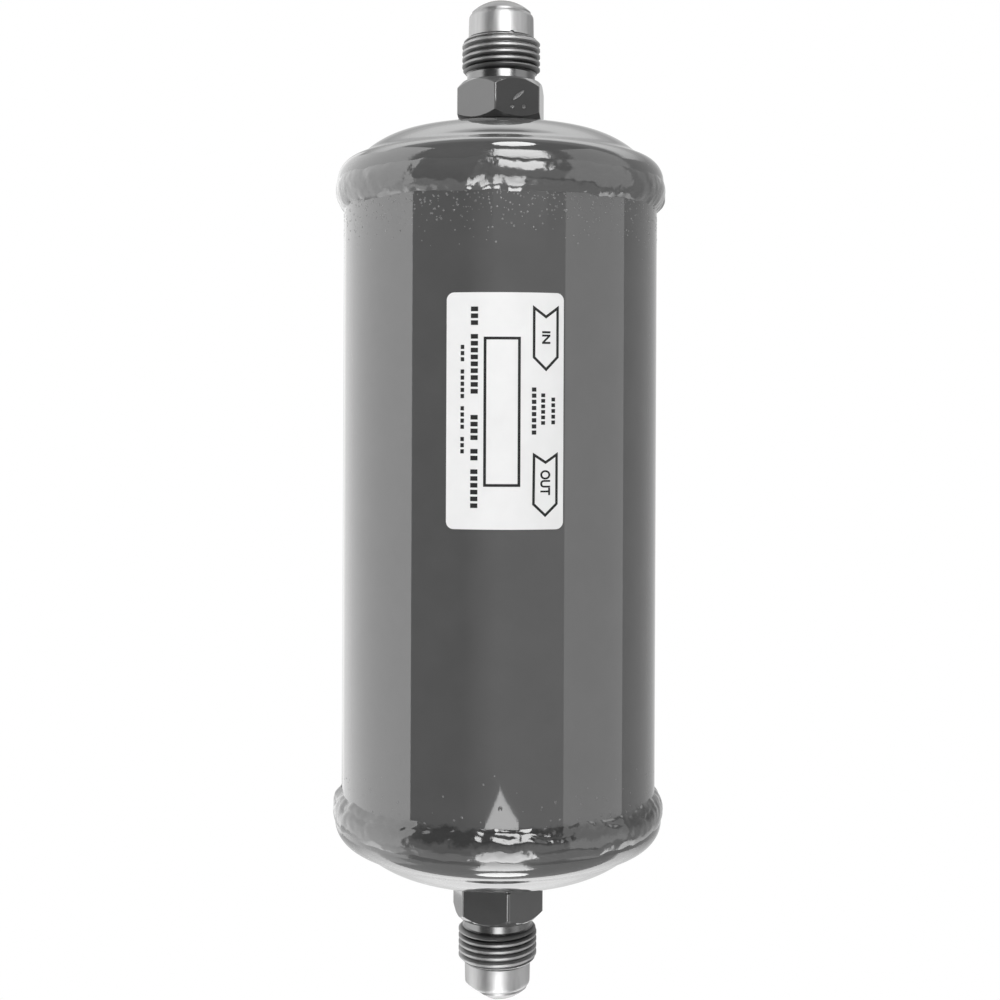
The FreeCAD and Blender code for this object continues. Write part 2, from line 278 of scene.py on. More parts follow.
# %% Weld beads
WELD_CENTRE, WELD_TOP, WELD_TOE = Vector((33.9, 74.74)), Vector((39.35, 77.7)), Vector((38.0, 70.09))
WELD_R = (WELD_TOP - WELD_CENTRE).length
WELD_LAP_Z, WELD_STEPS = 74.65, 768
RIPPLE_WIDTH, GROOVE_Z, GROOVE_HALF_WIDTH = 2.6, 71.9, 0.5
weld_face = arc(WELD_CENTRE, WELD_TOP, WELD_TOE, 36)
weld_back = [(WELD_TOE.x, WELD_LAP_Z), (WELD_TOP.x, WELD_LAP_Z)]
plain_weld = turned("plain_weld", weld_face + weld_back, WELD_STEPS, 60)


def lumps(place, size, seed):
    """Smooth noise about 0, with lumps of that size in millimetres."""
    return noise.noise(place / size + Vector((seed, 2 * seed, 3 * seed)))


def weld_rule(seed, knobs, groove):
    """How one bead's points move: knobs are (degrees from the front, height, proud, width)."""
    def rule(p):
        radius = math.hypot(p.x, p.y)
        turn = math.atan2(p.x, -p.y)
        down = min(1, max(0, (WELD_TOP.y - p.z) / (WELD_TOP.y - WELD_TOE.y)))
        if abs((Vector((radius, p.z)) - WELD_CENTRE).length - WELD_R) > 0.03:
            return p
        level = Vector((p.x, p.y, 0))
        body = 0.35 + 0.65 * math.sin(math.pi * down)
        ripples = turn * TUBE_R / RIPPLE_WIDTH + 0.9 * (2 * down - 1) ** 2
        crescent = math.sin(2 * math.pi * ripples + 3 * lumps(p, 9, seed))
        swell = 0.2 * lumps(level, 17, seed) + 0.14 * lumps(p, 4.5, seed + 3) + 0.07 * lumps(p, 1.9, seed + 5)
        grain = 0.026 * lumps(p, 0.8, seed + 9) + 0.012 * lumps(p, 0.45, seed + 13)
        out = body * (0.008 * crescent + swell + grain)
        for degrees, height, proud, width in knobs:
            gap = math.hypot((turn - math.radians(degrees)) * TUBE_R, p.z - height)
            out += proud * math.exp(-(gap / width) ** 2)
        toe = GROOVE_Z + 1.1 * lumps(level, 6, seed + 21) + 0.5 * lumps(level, 2, seed + 25)
        burnt = groove * (0.6 + lumps(level, 5, seed + 29))
        out -= burnt * math.exp(-((p.z - toe) / GROOVE_HALF_WIDTH) ** 2)
        wander = 0.7 * lumps(level, 8, seed + 17) + 0.3 * lumps(level, 2.5, seed + 19)
        new_radius = min(max(radius + out, TUBE_R - 0.06), BOX_R)
        return Vector((p.x * new_radius / radius, p.y * new_radius / radius, p.z + wander))
    return rule


inlet_weld = copied("inlet_weld_bead", plain_weld)
inlet_knobs = [(88, 72.2, 0.45, 1.4), (62, 74.5, 0.15, 1.2), (-48, 75.2, 0.15, 0.9)]
reshape(inlet_weld, weld_rule(1.7, inlet_knobs, 0.06))
outlet_weld = copied("outlet_weld_bead", plain_weld)
outlet_knobs = [(86, 71.6, 0.6, 1.6), (-70, 71.2, 0.3, 1.3), (150, 73.5, 0.2, 1.5)]
reshape(outlet_weld, weld_rule(7.3, outlet_knobs, 0.3))
outlet_weld.data.transform(END_FOR_END)
bpy.data.objects.remove(plain_weld)
for bead in (inlet_weld, outlet_weld):
    print(bead.name, "reaches", round(max(v.co.xy.length for v in bead.data.vertices) / MM, 2), "mm")

# %% [markdown]
# Welding throws off small drops of metal, which stick to the tube near the bead and are painted over. One
# flat drop is modelled, cut off where it sinks into the tube. Copies of it in many sizes are set on the
# tube, thick by the inlet weld and thin away from it, with a few by the outlet weld. The places come from a
# seeded generator, so they are the same each run. One round pimple in the paint, in front just above the
# outlet weld, is made from the same drop.

# %% Weld spatter
def on_tube(degrees, height, radius=TUBE_R):
    """The point at that many degrees from the front, towards the right, at that height."""
    turn = math.radians(degrees)
    return Vector((radius * math.sin(turn), -radius * math.cos(turn), height)) * MM


bpy.ops.object.select_all(action="DESELECT")
bpy.ops.mesh.primitive_ico_sphere_add(subdivisions=2, radius=MM)
drop = start_piece("drop")
bpy.ops.transform.resize(value=(1, 0.22, 1))
bpy.ops.mesh.bisect(plane_co=(0, 0.03 * MM, 0), plane_no=(0, 1, 0), clear_outer=True, use_fill=True)
bpy.ops.object.mode_set(mode="OBJECT")
bpy.ops.object.shade_smooth()
print("one drop:", len(drop.data.polygons), "faces")

DROPS, SPATTER_EDGE_Z, SPATTER_REACH, SINK = 1300, 70.2, 4.6, 0.01
draw = random.Random(17)
drops = []
for k in range(DROPS):
    side = 1 if k % 8 else -1
    away = abs(draw.gauss(0, SPATTER_REACH))
    degrees = draw.uniform(-180, 180)
    size = draw.choice((0.12, 0.15, 0.19, 0.26))
    place = Matrix.Translation(on_tube(degrees, side * (SPATTER_EDGE_Z - away), TUBE_R - SINK))
    turn = Matrix.Rotation(math.radians(degrees), 4, "Z")
    drops.append(copied("drop", drop, place @ turn @ Matrix.Scale(size, 4)))
pimple_size = Matrix.Diagonal((0.52, 0.8, 0.52, 1))
pimple = copied("paint_pimple", drop, Matrix.Translation(on_tube(0.7, -65.6)) @ pimple_size)
bpy.data.objects.remove(drop)
spatter = join("weld_spatter", drops)
print("spatter:", len(spatter.data.polygons), "faces")

# %% [markdown]
# ## Flare fittings
# Each fitting is turned from hexagon bar. Its wrench hexagon is painted with the canister, and the neck, the
# 3/4-16 thread and the flare nose are masked and stay bare metal. That makes two pieces here. The hexagon is
# a six-sided bar with its corners eased, trimmed by a turned blank that chamfers both ends, as in a lathe.

# %% Painted hexagons
corner_r = HEX_ACROSS_FLATS / math.sqrt(3)
face_r = HEX_ACROSS_FLATS / 2 - 0.4
foot_rise = (corner_r - face_r) * math.tan(math.radians(38))
neck_drop = (corner_r - face_r) * math.tan(math.radians(47))
EDGE_EASE = 0.12


def hexagon(name, turn_deg, corner_ease):
    """A painted hexagon turned by so many degrees, with its collar and spigot, bored through."""
    bpy.ops.object.select_all(action="DESELECT")
    bpy.ops.mesh.primitive_cylinder_add(
        vertices=6, radius=corner_r * MM, depth=(NECK_Z - HEX_Z) * MM,
        location=(0, 0, (HEX_Z + NECK_Z) / 2 * MM), rotation=(0, 0, math.radians(turn_deg)))
    bpy.ops.object.transform_apply()
    piece = start_piece(name)
    bpy.ops.mesh.select_all(action="DESELECT")
    bpy.ops.object.mode_set(mode="OBJECT")
    for edge in piece.data.edges:
        a, b = (piece.data.vertices[i].co for i in edge.vertices)
        edge.select = abs(a.z - b.z) > MM
    bpy.ops.object.mode_set(mode="EDIT")
    bpy.ops.mesh.select_mode(type="EDGE")
    bpy.ops.mesh.bevel(offset=corner_ease * MM, segments=6)
    bpy.ops.object.mode_set(mode="OBJECT")
    blank = turned("blank", [
        (0, HEX_Z), (face_r, HEX_Z), (corner_r, HEX_Z + foot_rise), (corner_r, NECK_Z - neck_drop),
        (face_r, NECK_Z), (0, NECK_Z)], 180)
    machine(piece, blank, "INTERSECT")
    soften = piece.modifiers.new("soften", "BEVEL")
    soften.width = EDGE_EASE * MM
    soften.segments = 2
    soften.limit_method = "ANGLE"
    soften.angle_limit = math.radians(24)
    finish_modifiers(piece)
    base = turned("base", [
        (NECK_R, NECK_Z - 0.3), (BORE_R, NECK_Z - 0.3), (BORE_R, SPIGOT_Z), (SPIGOT_R, SPIGOT_Z),
        (SPIGOT_R, COLLAR_Z), (COLLAR_R, COLLAR_Z), (COLLAR_R, HEX_Z + 0.05), (NECK_R, HEX_Z + 0.05)], 96)
    bore = turned("bore", [(0, SPIGOT_Z), (BORE_R, SPIGOT_Z), (BORE_R, NECK_Z + 1), (0, NECK_Z + 1)], 96)
    machine(piece, bore, "DIFFERENCE")
    machine(piece, base, "UNION")
    print(f"{name}: {len(piece.data.polygons)} faces")
    return piece


inlet_hexagon = hexagon("inlet_hexagon", -6.9, 0.25)
outlet_hexagon = hexagon("outlet_hexagon", -12.9, 0.6)
smooth_round_flats(outlet_hexagon, 20)
outlet_hexagon.data.transform(END_FOR_END)

# %% [markdown]
# The inlet hexagon was knocked in handling: one long nick and two small ones on the face right of the front
# corner. They are cut out with small stretched spheres. The knocks went through the gloss coat, so the inner
# half of each sphere is kept as a thin skin of dull primer in its dent.

# %% Nicks on the inlet hexagon
FACE_TURN = math.radians(23.1)
face_out = Vector((math.sin(FACE_TURN), -math.cos(FACE_TURN), 0))
face_right = Vector((-face_out.y, face_out.x, 0))
skins = []
for along, height, length, lean in ((0.3, 97.1, 1.95, 40), (-1.35, 94.25, 0.55, 0), (1.66, 94.45, 0.55, 75)):
    middle = face_out * (HEX_ACROSS_FLATS / 2 + 0.1) + face_right * along + Vector((0, 0, height))
    bpy.ops.object.select_all(action="DESELECT")
    bpy.ops.mesh.primitive_ico_sphere_add(subdivisions=4, radius=MM)
    nick = named("nick")
    turning = Matrix.Rotation(FACE_TURN, 4, "Z") @ Matrix.Rotation(math.radians(-lean), 4, "Y")
    placing = Matrix.Translation(middle * MM) @ turning
    skin = copied("primer_skin", nick, placing @ Matrix.Diagonal((length * 0.97, 0.4, 0.45, 1)))
    nick.data.transform(placing @ Matrix.Diagonal((length, 0.42, 0.47, 1)))
    machine(inlet_hexagon, nick, "DIFFERENCE")
    only(skin)
    bpy.ops.object.mode_set(mode="EDIT")
    bpy.ops.mesh.select_all(action="SELECT")
    just_inside = face_out * (HEX_ACROSS_FLATS / 2 - 0.03) * MM
    bpy.ops.mesh.bisect(plane_co=just_inside, plane_no=face_out, clear_outer=True)
    bpy.ops.mesh.select_all(action="SELECT")
    bpy.ops.mesh.flip_normals()
    bpy.ops.object.mode_set(mode="OBJECT")
    bpy.ops.object.shade_smooth()
    skins.append(skin)
knocks = join("primer_in_knocks", skins)
smooth_round_flats(inlet_hexagon, 20)
print("knocks:", len(knocks.data.polygons), "faces")

# %% [markdown]
# The bare end is turned first, and its thread is then cut as on a lathe: a V-shaped tool goes round in a
# helix and what it passes through is taken away. The tool's path is one V spun upwards by the Screw modifier,
# a pitch a turn. It starts in the neck's relief and runs out past the front, so the thread has true ends.

# %% Bare threaded ends
STEP_Z = NECK_Z - 0.28
THREAD_START_Z, THREAD_TURNS = THREAD_Z - 1.3, 7
inlet_thread = turned("inlet_threaded_end", [
    (NECK_R, STEP_Z), (NECK_R, THREAD_Z - 0.25), (NECK_R + 0.25, THREAD_Z),
    (THREAD_R - THREAD_CHAMFER, THREAD_Z), (THREAD_R, THREAD_Z + THREAD_CHAMFER),
    (THREAD_R, NOSE_Z - THREAD_CHAMFER), (THREAD_R - THREAD_CHAMFER, NOSE_Z),
    (NOSE_R + 0.2, NOSE_Z), (NOSE_R, NOSE_Z + 0.2), (NOSE_R, CONE_Z), (BORE_R, TIP_Z), (BORE_R, STEP_Z)], 144)


def thread_tool(root_flat, reach):
    """A V of the thread's form on a helix, right-handed, closed at both ends."""
    inside, outside_r = THREAD_R - THREAD_DEPTH, THREAD_R + reach
    half_root = root_flat / 2
    half_mouth = half_root + (outside_r - inside) * math.tan(math.radians(30))
    bpy.ops.object.select_all(action="DESELECT")
    bpy.ops.mesh.primitive_plane_add(size=MM)
    tool = named("thread_tool")
    corners = [(inside, -half_root), (outside_r, -half_mouth), (outside_r, half_mouth), (inside, half_root)]
    loop = tool.data.polygons[0].vertices
    for index, (radius, height) in zip(loop, corners):
        tool.data.vertices[index].co = Vector((radius, 0, THREAD_START_Z + height)) * MM
    helix = tool.modifiers.new("helix", "SCREW")
    helix.axis = "Z"
    helix.angle = 2 * math.pi
    helix.screw_offset = THREAD_PITCH * MM
    helix.iterations = THREAD_TURNS
    helix.steps = helix.render_steps = 144
    helix.use_merge_vertices = False
    finish_modifiers(tool)
    bpy.ops.object.mode_set(mode="EDIT")
    bpy.ops.mesh.select_mode(type="EDGE")
    bpy.ops.mesh.select_all(action="DESELECT")
    bpy.ops.mesh.select_non_manifold(
        extend=False, use_wire=False, use_multi_face=False, use_non_contiguous=False, use_verts=False)
    bpy.ops.mesh.edge_face_add()
    bpy.ops.mesh.select_all(action="SELECT")
    bpy.ops.mesh.normals_make_consistent(inside=False)
    bpy.ops.object.mode_set(mode="OBJECT")
    return tool


tool = thread_tool(0.06, 0.1)
print("thread tool:", len(tool.data.polygons), "faces")
machine(inlet_thread, tool, "DIFFERENCE")
bpy.ops.object.shade_smooth_by_angle(angle=math.radians(25))
outlet_thread = copied("outlet_threaded_end", inlet_thread, END_FOR_END)
print("threaded end:", len(inlet_thread.data.polygons), "faces")

# %% [markdown]
# ## Braze rings
# Filler metal has run out round the foot of each fitting and left a hollow ring between collar and dome. It
# is turned as a hollow arc, with its foot a hair under the dome, and its outline is let wander a little.

# %% Braze rings
RING_R, RING_INNER_R, RING_TOP_Z = 10.0, 8.6, HEX_Z - 0.02
inlet_braze = turned("inlet_braze_ring", [
    (RING_R, crown_z(RING_R) - 0.03), (9.55, 91.22), (9.2, 91.4), (8.99, 91.62), (COLLAR_R, RING_TOP_Z),
    (RING_INNER_R, RING_TOP_Z), (RING_INNER_R, crown_z(RING_INNER_R) - 0.03)])


def braze_rule(p):
    """The ring's outline wanders in and out along the dome."""
    radius = math.hypot(p.x, p.y)
    share = min(1, max(0, (radius - COLLAR_R) / (RING_R - COLLAR_R)))
    new_radius = radius + share * (0.5 * lumps(p, 4.0, 3.3) - 0.1)
    lift = 0 if share == 0 else crown_z(new_radius) - crown_z(radius)
    return Vector((p.x * new_radius / radius, p.y * new_radius / radius, p.z + lift))


reshape(inlet_braze, braze_rule)
outlet_braze = copied("outlet_braze_ring", inlet_braze, END_FOR_END)

# %% [markdown]
# ## Sealing thimbles
# In store each flare nose is closed by a thin drawn thimble, pushed on by hand. A drawn thimble has an eased
# shoulder and a rim that is never quite even. The inlet one has a small tear in its rim, and the outlet
# one has been knocked flat on its left side, so both are worked after turning.

# %% Thimbles
DOME_CENTRE = (0, 111.29)
RIM_EASE, WALL_TOP_Z = 0.12, THIMBLE_SHOULDER_Z - 0.7
wall_rise = WALL_TOP_Z - THIMBLE_RIM_Z - RIM_EASE
thimble_section = (
    [(THIMBLE_INNER_R, THIMBLE_RIM_Z), (THIMBLE_R - RIM_EASE, THIMBLE_RIM_Z)]
    + [(THIMBLE_R - 0.012 * k, THIMBLE_RIM_Z + RIM_EASE + k * wall_rise / 8) for k in range(9)]
    + arc((THIMBLE_R - 1.35, WALL_TOP_Z - 0.05), (THIMBLE_R - 0.1, WALL_TOP_Z), (7.4, 118.72), 6)[1:]
    + arc(DOME_CENTRE, (7.2, 118.93), (0, THIMBLE_TOP_Z), 24)
    + arc(DOME_CENTRE, (0, THIMBLE_TOP_Z - 0.42), (THIMBLE_INNER_R - 0.3, 117.9), 10)
    + [(THIMBLE_INNER_R, 117.4)]
)
inlet_thimble = turned("inlet_thimble", thimble_section, 144, 40)
outlet_thimble = copied("outlet_thimble", inlet_thimble, END_FOR_END)


def uneven_rim(seed, rim_z):
    """The rim's edge runs up and down, and the wall under it waves in and out."""
    def rule(p):
        near_rim = math.exp(-abs(p.z - rim_z) / 1.4)
        radius = max(1e-6, math.hypot(p.x, p.y))
        out = 0.08 * near_rim * lumps(Vector((p.x, p.y, 0)), 5, seed) - 0.02
        rise = 0.16 * near_rim * (0.5 + lumps(Vector((p.x, p.y, 0)), 7, seed + 4)) * (1 if rim_z > 0 else -1)
        scale = (radius + out * near_rim) / radius
        return Vector((p.x * scale, p.y * scale, p.z + rise))
    return rule


DENT_FACING, DENT_PLANE = Vector((-0.47, -0.2, -0.86)), 105.1


def knocked_flat(p):
    """Whatever stands past the dent's plane is pushed back to it, nearly all the way."""
    past = p.dot(DENT_FACING) - DENT_PLANE
    return p - DENT_FACING * (0.92 * past) if past > 0 else p


reshape(inlet_thimble, uneven_rim(2.1, THIMBLE_RIM_Z))
reshape(outlet_thimble, uneven_rim(6.4, -THIMBLE_RIM_Z))
reshape(outlet_thimble, knocked_flat)
bpy.ops.object.select_all(action="DESELECT")
bpy.ops.mesh.primitive_ico_sphere_add(
    subdivisions=3, radius=0.42 * MM, location=on_tube(19, THIMBLE_RIM_Z + RIM_EASE, THIMBLE_R - 0.1))
tear = start_piece("tear")
bpy.ops.transform.resize(value=(1.3, 1.3, 0.9))
bpy.ops.object.mode_set(mode="OBJECT")
machine(inlet_thimble, tear, "DIFFERENCE")

# %% [markdown]
# ## Label
# The label is printed plastic film with rounded corners, stuck on the tube a shade off the middle. It is
# modelled flat, as it leaves the roll. Cuts across it every half millimetre let it bend, and it is then
# wrapped: distance along the film becomes angle round the tube. The print is laid out flat in the same way
# and wrapped a hair above the film.

# %% Flat shapes and wrapping
FILM_THICKNESS, INK_THICKNESS = 0.12, 0.025


def flat_shape(points, line=0.0, corner=0.0):
    """A flat face through points (right, up) of the label's middle, or its outline in that line width."""
    bpy.ops.object.select_all(action="DESELECT")
    bpy.ops.mesh.primitive_circle_add(vertices=len(points), radius=MM, fill_type="NGON")
    shape = named("shape")
    for vertex, (right, up) in zip(shape.data.vertices, points):
        vertex.co = Vector((right, 0, up)) * MM
    shape.data.update()
    bpy.ops.object.mode_set(mode="EDIT")
    bpy.ops.mesh.select_all(action="SELECT")
    if shape.data.polygons[0].normal.y > 0:
        bpy.ops.mesh.flip_normals()
    if corner:
        bpy.ops.mesh.bevel(offset=corner * MM, segments=8, affect="VERTICES")
    if line:
        bpy.ops.mesh.select_mode(type="FACE")
        bpy.ops.mesh.select_all(action="SELECT")
        bpy.ops.mesh.inset(thickness=line * MM, depth=0)
        bpy.ops.mesh.delete(type="FACE")
    bpy.ops.object.mode_set(mode="OBJECT")
    return shape


def wrapped(piece, radius, thickness, strip=0.5):
    """Cuts a flat piece into upright strips, bends it round the tube at the label's place and thickens it."""
    only(piece)
    half = LABEL_WIDTH / 2
    bpy.ops.object.mode_set(mode="EDIT")
    for k in range(1, int(LABEL_WIDTH / strip)):
        bpy.ops.mesh.select_all(action="SELECT")
        bpy.ops.mesh.bisect(plane_co=((k * strip - half) * MM, 0, 0), plane_no=(1, 0, 0))
    bpy.ops.object.mode_set(mode="OBJECT")
    reshape(piece, lambda p: on_tube(math.degrees(p.x / TUBE_R) + LABEL_TURN, p.z + LABEL_Z, radius) / MM)
    film = piece.modifiers.new("film", "SOLIDIFY")
    film.thickness = thickness * MM
    film.offset = 1
    finish_modifiers(piece)
    bpy.ops.object.shade_smooth_by_angle(angle=math.radians(30))
    return piece


def rectangle(left, right, low, high):
    return [(left, low), (right, low), (right, high), (left, high)]


half_width, half_height = LABEL_WIDTH / 2, LABEL_HEIGHT / 2
label = flat_shape(rectangle(-half_width, half_width, -half_height, half_height), corner=LABEL_CORNER)
label.name = label.data.name = "label_film"
label = wrapped(label, TUBE_R + 0.004, FILM_THICKNESS)
print("label:", len(label.data.polygons), "faces")

# %% [markdown]
# The print shows which way the refrigerant flows, with an arrow marked IN and an arrow marked OUT, and an
# empty box to write in. Lines of small print are shown as rows of blocks in word lengths. Everything reads
# from the side, so a row runs down the label.

# %% Print
in_arrow = [(6.0, 23.3), (9.0, 21.1), (11.95, 23.3), (11.95, 11.8), (9.05, 8.75), (6.0, 11.7)]
out_arrow = [(6.1, -9.1), (9.0, -10.95), (11.85, -9.0), (11.85, -20.55), (8.95, -23.35), (6.0, -20.6)]
write_in_box = rectangle(-4.8, 3.35, -16.65, 16.3)
print_parts = [
    flat_shape(in_arrow, line=0.58), flat_shape(out_arrow, line=0.58), flat_shape(write_in_box, line=0.62)]
for word, left, right, top, bottom in (("IN", 8.1, 10.0, 17.6, 14.8), ("OUT", 7.8, 10.1, -13.0, -18.5)):
    bpy.ops.object.select_all(action="DESELECT")
    bpy.ops.object.text_add()
    lettering = bpy.context.object
    lettering.data.body = word
    lettering.data.offset = 0.03
    bpy.ops.object.convert(target="MESH")
    xs, ys = ([v.co[axis] for v in lettering.data.vertices] for axis in (0, 1))
    wide, tall = max(xs) - min(xs), max(ys) - min(ys)
    for vertex in lettering.data.vertices:
        along, across = (vertex.co.x - min(xs)) / wide, (vertex.co.y - min(ys)) / tall
        vertex.co = Vector((left + across * (right - left), 0, top - along * (top - bottom))) * MM
    only(lettering)
    bpy.ops.object.mode_set(mode="EDIT")
    bpy.ops.mesh.select_all(action="SELECT")
    bpy.ops.mesh.remove_doubles(threshold=0.001 * MM)
    bpy.ops.object.mode_set(mode="OBJECT")
    if lettering.data.polygons[0].normal.y > 0:
        lettering.data.flip_normals()
    print_parts.append(lettering)


def small_print(left, right, top, bottom, words, gap=0.32):
    """A row of blocks for letters, in words of those lengths, that fills the stretch from top to bottom."""
    pitch = (top - bottom) / (sum(words) + len(words) - 1)
    start = top
    for length in words:
        for k in range(length):
            high = start - k * pitch
            print_parts.append(flat_shape(rectangle(left, right, high - pitch * (1 - gap), high)))
        start -= (length + 1) * pitch


small_print(-7.65, -6.05, 22.9, 3.3, (3, 9))
small_print(-7.65, -6.05, -0.9, -21.8, (4, 2, 6))
small_print(-9.9, -9.1, 14.5, -9.8, (3, 5, 4, 3))
small_print(10.3, 11.15, 3.0, -3.3, (5,))
small_print(7.95, 8.85, 3.9, -3.4, (6,))
small_print(5.85, 6.85, 5.2, -5.6, (8,))
label_print = wrapped(join("label_print", print_parts), TUBE_R + 0.004 + FILM_THICKNESS, INK_THICKNESS)
print("print:", len(label_print.data.polygons), "faces")

# %% [markdown]
# ## Finishes
# A colour picked on a screen is sRGB and the renderer counts light, so one function turns the first into the
# second. Another adds a node with its settings and links, which keeps each finish below short to read. Every
# pattern reads Object coordinates, in metres, so its scale is a thousand over its size in millimetres.

# %% Colour and nodes
def linear(hex_colour, alpha=1.0):
    """An sRGB hex colour as the linear numbers that a shader takes."""
    channels = [int(hex_colour[i:i + 2], 16) / 255 for i in (1, 3, 5)]
    return [c / 12.92 if c <= 0.04045 else ((c + 0.055) / 1.055) ** 2.4 for c in channels] + [alpha]


def given_by(node):
    """A node's first output that is in use."""
    return next(socket for socket in node.outputs if socket.enabled)


def add_node(tree, kind, inputs=(), into=None, **settings):
    """One shader node with its settings. Each input is a value, a socket or a node. It may feed a socket."""
    node = tree.nodes.new("ShaderNode" + kind)
    for name, value in settings.items():
        setattr(node, name, value)
    for name, value in dict(inputs).items():
        if isinstance(value, bpy.types.Node):
            value = given_by(value)
        if isinstance(value, bpy.types.NodeSocket):
            tree.links.new(value, node.inputs[name])
        else:
            node.inputs[name].default_value = value
    if into is not None:
        tree.links.new(given_by(node), into)
    return node


def finish(name, **constants):
    """A material whose shader has those constants, with its tree, its shader and a point on the surface."""
    material = bpy.data.materials.new(name)
    material.use_nodes = True
    shader = material.node_tree.nodes["Principled BSDF"]
    for socket, value in constants.items():
        shader.inputs[socket.replace("_", " ")].default_value = value
    point = add_node(material.node_tree, "TexCoord").outputs["Object"]
    return material, material.node_tree, shader, point


print("a middle grey, as light:", round(linear("#808080")[0], 3))

# %% [markdown]
# ** Baked enamel.** The canister, welds and hexagons are sprayed in one coat of gloss alkyd enamel and baked.
# Such a paint is a plain dielectric of index 1.5 and nearly mirror smooth, with a trace of the orange peel
# of a sprayed coat, about 1.6 mm from crest to crest. On the welds it has run over fine scale, so there it
# has a grain and is less smooth, and its colour is a touch uneven all over. The groove along the outlet
# weld's toe carries painted shade, a dark wavering line from left of the front round to the right.

# %% Enamel
enamel, tree, shader, point = finish("baked_grey_enamel", IOR=1.5)
cloud = add_node(tree, "TexNoise", {"Vector": point, "Scale": 1000 / 9, "Detail": 4})
shade = add_node(tree, "Mix", {0: cloud, 6: linear("#4b4b4b"), 7: linear("#545454")}, data_type="RGBA")
place = add_node(tree, "SeparateXYZ", {"Vector": point})
stray = add_node(tree, "TexNoise", {
    "Vector": point, "Scale": 1000 / 3.5, "Detail": 4, "Roughness": 0.6})
# Painted shade: the enamel darkens to near black in a wavering line along the outlet weld's toe groove, from
# left of the front round to the right.
GROOVE_SHADE_STRAY, GROOVE_SHADE_Z, GROOVE_SHADE_CORE, GROOVE_SHADE_EDGE = 5 * MM, -69.3 * MM, 1.0 * MM, 2.1 * MM
wavering = add_node(tree, "Math", {
    0: stray, 1: GROOVE_SHADE_STRAY, 2: place.outputs["Z"]}, operation="MULTIPLY_ADD")
from_toe = add_node(tree, "Math", {0: wavering, 1: GROOVE_SHADE_Z}, operation="SUBTRACT")
aside = add_node(tree, "Math", {0: from_toe}, operation="ABSOLUTE")
shaded_toe = add_node(tree, "MapRange", {
    "Value": aside, "From Min": GROOVE_SHADE_CORE, "From Max": GROOVE_SHADE_EDGE, "To Min": 0.75, "To Max": 0.0})
toward_right = add_node(tree, "MapRange", {
    "Value": place.outputs["X"], "From Min": -26 * MM, "From Max": -16 * MM})
painted_groove_shade = add_node(tree, "Math", {0: shaded_toe, 1: toward_right}, operation="MULTIPLY")
add_node(tree, "Mix", {0: painted_groove_shade, 6: shade, 7: linear("#262626")}, data_type="RGBA",
         into=shader.inputs["Base Color"])

from_middle = add_node(tree, "Math", {0: place.outputs["Z"]}, operation="ABSOLUTE")
on_weld = add_node(tree, "MapRange", {
    "Value": from_middle, "From Min": 69.5 * MM, "From Max": 71.2 * MM})
past_weld = add_node(tree, "MapRange", {
    "Value": from_middle, "From Min": 78.5 * MM, "From Max": 80.5 * MM, "To Min": 1.0, "To Max": 0.0})
weld_share = add_node(tree, "Math", {0: on_weld, 1: past_weld}, operation="MULTIPLY")
haze = add_node(tree, "TexNoise", {"Vector": point, "Scale": 1000 / 4, "Detail": 3})
gloss = add_node(tree, "MapRange", {"Value": haze, "To Min": 0.02, "To Max": 0.05})
add_node(tree, "Math", {0: weld_share, 1: 0.08, 2: gloss}, operation="MULTIPLY_ADD",
         into=shader.inputs["Roughness"])

peel = add_node(tree, "TexNoise", {"Vector": point, "Scale": 1000 / 1.6, "Detail": 1})
grain = add_node(tree, "TexNoise", {"Vector": point, "Scale": 1000 / 0.6, "Detail": 2})
peel_bump = add_node(tree, "Bump", {"Height": peel, "Distance": 0.0006 * MM, "Strength": 1.0})
add_node(tree, "Bump", {
    "Height": grain, "Distance": 0.02 * MM, "Strength": weld_share, "Normal": peel_bump},
    into=shader.inputs["Normal"])
print("enamel:", len(enamel.node_tree.nodes), "nodes")

# %% [markdown]
# Two near relations: over the spatter the enamel is duller and painted a lighter grey, which puts a painted
# highlight on each drop, and the knocks on the hexagon show the dull primer under the gloss coat.

# %% Enamel over spatter, and primer
# Painted highlight: the drops are a lighter grey than the coat round them.
spatter_enamel_painted_light, tree, shader, point = finish("enamel_on_spatter", Roughness=0.5, IOR=1.5)
cloud = add_node(tree, "TexNoise", {"Vector": point, "Scale": 1000 / 5, "Detail": 2})
add_node(tree, "Mix", {0: cloud, 6: linear("#4c4c4c"), 7: linear("#646464")}, data_type="RGBA",
         into=shader.inputs["Base Color"])

primer, tree, shader, point = finish("grey_primer", Roughness=0.7)
cloud = add_node(tree, "TexNoise", {"Vector": point, "Scale": 1000 / 0.8, "Detail": 3})
add_node(tree, "Mix", {0: cloud, 6: linear("#686868"), 7: linear("#848484")}, data_type="RGBA",
         into=shader.inputs["Base Color"])
print("primer:", len(primer.node_tree.nodes), "nodes")
